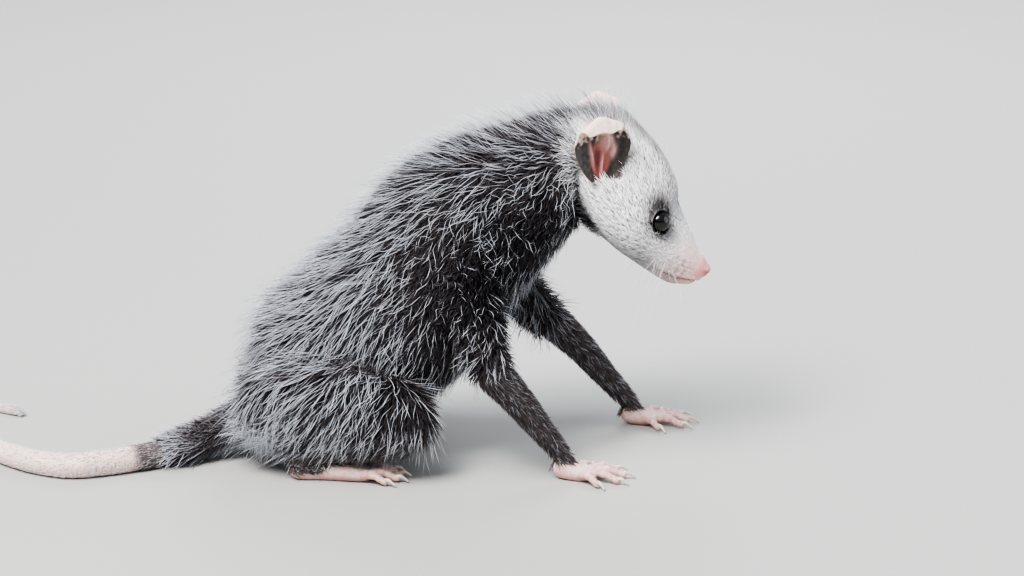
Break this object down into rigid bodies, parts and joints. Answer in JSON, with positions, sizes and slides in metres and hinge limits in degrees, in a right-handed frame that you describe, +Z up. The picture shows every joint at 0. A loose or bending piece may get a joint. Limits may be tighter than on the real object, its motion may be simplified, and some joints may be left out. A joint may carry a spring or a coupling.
{
  "type": "opossum",
  "caption": "Young Virginia opossum, life size, propped on its forelegs with its haunches on the ground and its bare tail curled behind; long bristly coat in tapered locks.",
  "frame": {"origin": "on the ground, under the middle of the animal's bounding box", "axes": "+X is the way the animal faces, +Y is its left side, +Z is up"},
  "size_m": [0.2502, 0.0854, 0.11],
  "materials": {
    "coat": "charcoal underfur under long white guard hairs",
    "face": "short white fur, grey on the crown and round the eyes",
    "limb": "short dark grey fur",
    "skin": "bare pink skin, soft sheen",
    "ear": "thin bare skin, creamy at the top and blackish below",
    "eye": "wet black",
    "nose": "moist pink skin",
    "dark_tail": "dark grey scales",
    "pale_tail": "pinkish white scales with fine white hairs"
  },
  "bodies": {
    "root": {"torso": "coat", "neck": "coat", "head": "face", "nose": "nose", "eye_left": "eye", "eye_right": "eye", "ear_left": "ear", "ear_right": "ear", "thigh_left": "coat", "thigh_right": "coat", "shank_left": "limb", "shank_right": "limb", "hind_foot_left": "skin", "hind_foot_right": "skin", "upper_arm_left": "coat", "upper_arm_right": "coat", "forearm_left": "limb", "forearm_right": "limb", "hand_left": "skin", "hand_right": "skin", "tail_base": "coat", "tail_dark": "dark_tail", "tail_upper": "pale_tail", "tail_middle": "pale_tail", "tail_lower": "pale_tail", "tail_tip": "pale_tail"}
  },
  "joints": []
}
